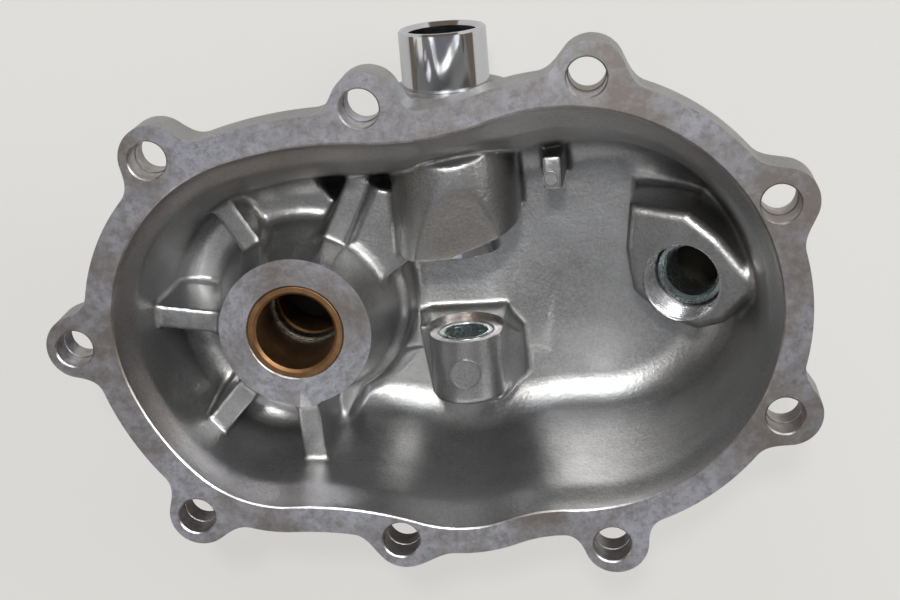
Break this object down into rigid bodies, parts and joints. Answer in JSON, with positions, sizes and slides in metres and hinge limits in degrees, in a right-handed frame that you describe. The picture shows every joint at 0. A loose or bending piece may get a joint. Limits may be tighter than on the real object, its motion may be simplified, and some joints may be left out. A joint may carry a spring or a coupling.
{
  "type": "die cast housing",
  "caption": "Die cast aluminium gear cover: open bowl with a machined bolt rim, bushed main bore, cross shaft tube with needle bearing and a threaded side port.",
  "frame": {"origin": "centre of the main bearing where it opens at its boss face", "axes": "+Z along the main bore out of the mouth; +Y along the cross shaft towards the tube's free end; +X towards the threaded port"},
  "size_m": [0.1832, 0.13, 0.061],
  "materials": {
    "casting": "satin",
    "bronze": "satin",
    "steel": "brushed",
    "zinc_plate": "polished"
  },
  "bodies": {
    "casing": {"housing": "casting", "bush_inner": "bronze", "spacer_ring": "steel", "bush_outer": "bronze", "guide_tube": "zinc_plate", "needle_cup": "steel", "threaded_fitting": "steel"},
    "needle_set": {"needle_cage": "steel", "needle_rollers": "steel"}
  },
  "joints": [
    {"name": "needle_spin", "type": "hinge", "parent": "casing", "child": "needle_set", "pos_m": [0.0412, -0.0129, -0.016], "axis": [0, 1, 0], "continuous": true}
  ]
}
